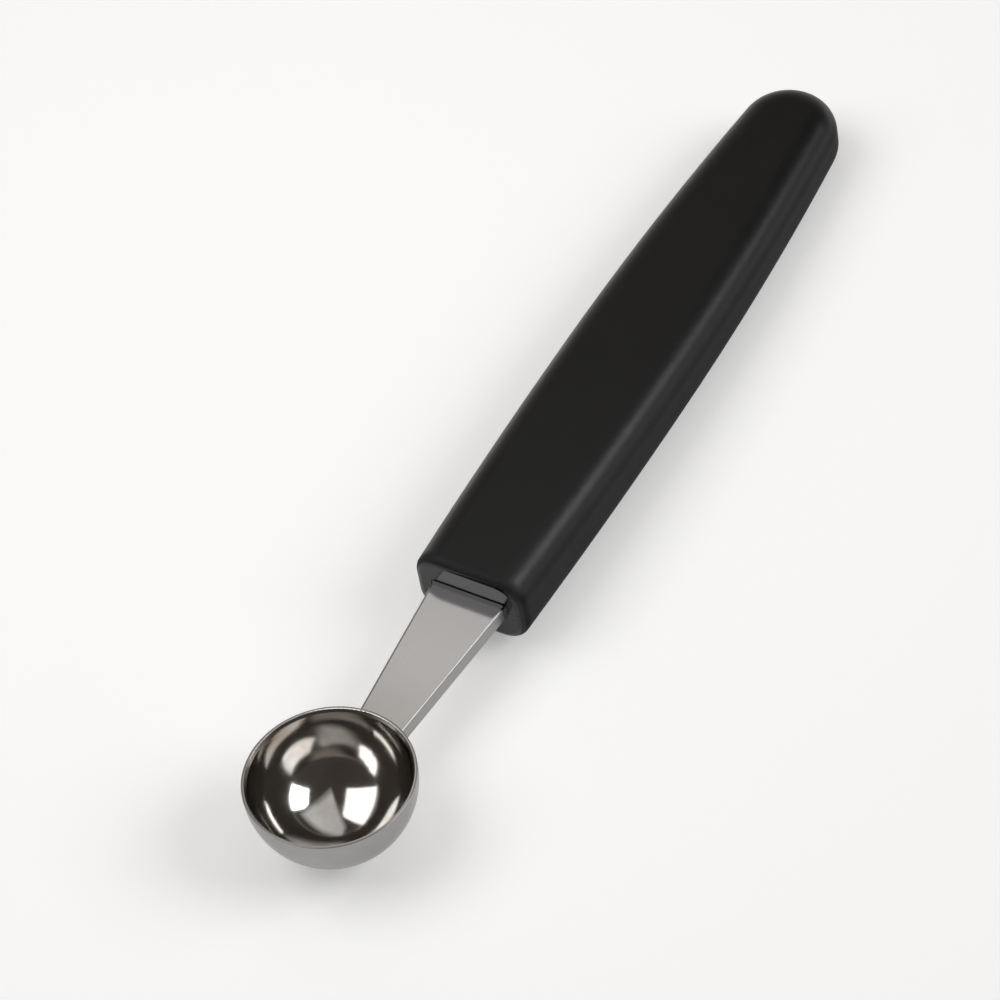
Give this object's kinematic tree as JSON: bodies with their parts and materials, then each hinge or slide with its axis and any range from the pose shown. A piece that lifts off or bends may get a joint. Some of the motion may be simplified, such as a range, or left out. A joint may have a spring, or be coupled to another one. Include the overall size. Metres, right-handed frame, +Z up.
{
  "type": "melon baller",
  "caption": "Hand tool with a hemispherical steel scoop on a flat tapered shank, set in a barrel-shaped black moulded handle.",
  "frame": {"origin": "under the middle of the tool's length and width, on the plane that the lying tool rests on", "axes": "+X from the bowl to the butt of the handle, +Z up, out of the open bowl, +Y to the left of someone who looks along +X; the tool lies with its bowl's bottom and its butt on Z = 0"},
  "size_m": [0.1732, 0.0276, 0.0155],
  "materials": {
    "polished_steel": "mirror-polished stainless steel",
    "satin_steel": "fine satin stainless steel",
    "weld_steel": "buffed weld metal",
    "handle_plastic": "satin black moulded plastic"
  },
  "bodies": {
    "root": {"bowl": "polished_steel", "shank": "satin_steel", "weld_bead": "weld_steel", "handle": "handle_plastic"}
  },
  "joints": []
}
